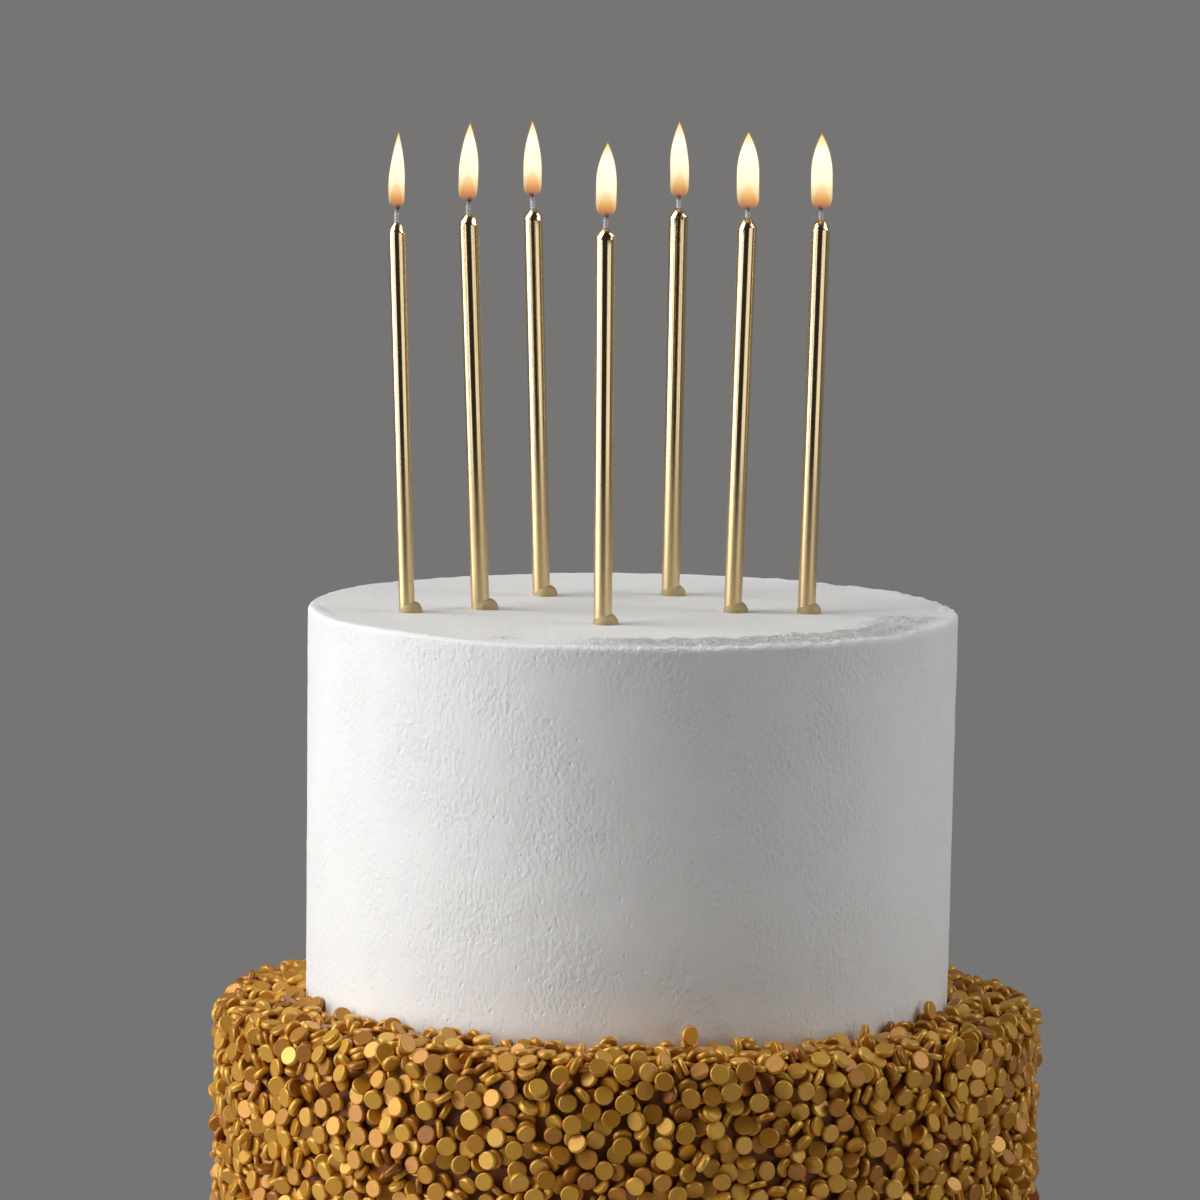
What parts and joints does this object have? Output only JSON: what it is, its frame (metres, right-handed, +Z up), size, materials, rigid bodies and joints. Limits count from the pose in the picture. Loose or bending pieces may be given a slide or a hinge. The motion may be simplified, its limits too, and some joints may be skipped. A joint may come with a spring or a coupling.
{
  "type": "birthday cake with candles",
  "caption": "Two-tier birthday cake, a smooth white tier on one coated in gold confetti sprinkles, with slim lit gold candles.",
  "frame": {"origin": "centre of the cake's round base, on the surface it stands on", "axes": "+Z up along the tiers' axis, +X to the viewer's right and +Y away from the viewer when the cake is seen from its front"},
  "size_m": [0.2057, 0.2061, 0.3197],
  "materials": {
    "buttercream": "soft matt white buttercream with fine pits",
    "gold_sprinkles": "satin gold-lustred sugar confetti over caramel-brown frosting",
    "gold_foil": "bright metallised gold, more satin towards the foot",
    "bead_wax": "satin khaki wax",
    "cotton_wick": "braided waxed cotton, charred at the tip",
    "flame": "glowing candle flame"
  },
  "bodies": {
    "root": {"tier_lower": "gold_sprinkles", "tier_upper": "buttercream", "candle_1": "gold_foil", "candle_2": "gold_foil", "candle_3": "gold_foil", "candle_4": "gold_foil", "candle_5": "gold_foil", "candle_6": "gold_foil", "candle_7": "gold_foil", "bead_1": "bead_wax", "bead_2": "bead_wax", "bead_3": "bead_wax", "bead_4": "bead_wax", "bead_5": "bead_wax", "bead_6": "bead_wax", "bead_7": "bead_wax", "wick_1": "cotton_wick", "wick_2": "cotton_wick", "wick_3": "cotton_wick", "wick_4": "cotton_wick", "wick_5": "cotton_wick", "wick_6": "cotton_wick", "wick_7": "cotton_wick", "flame_1": "flame", "flame_2": "flame", "flame_3": "flame", "flame_4": "flame", "flame_5": "flame", "flame_6": "flame", "flame_7": "flame"}
  },
  "joints": []
}
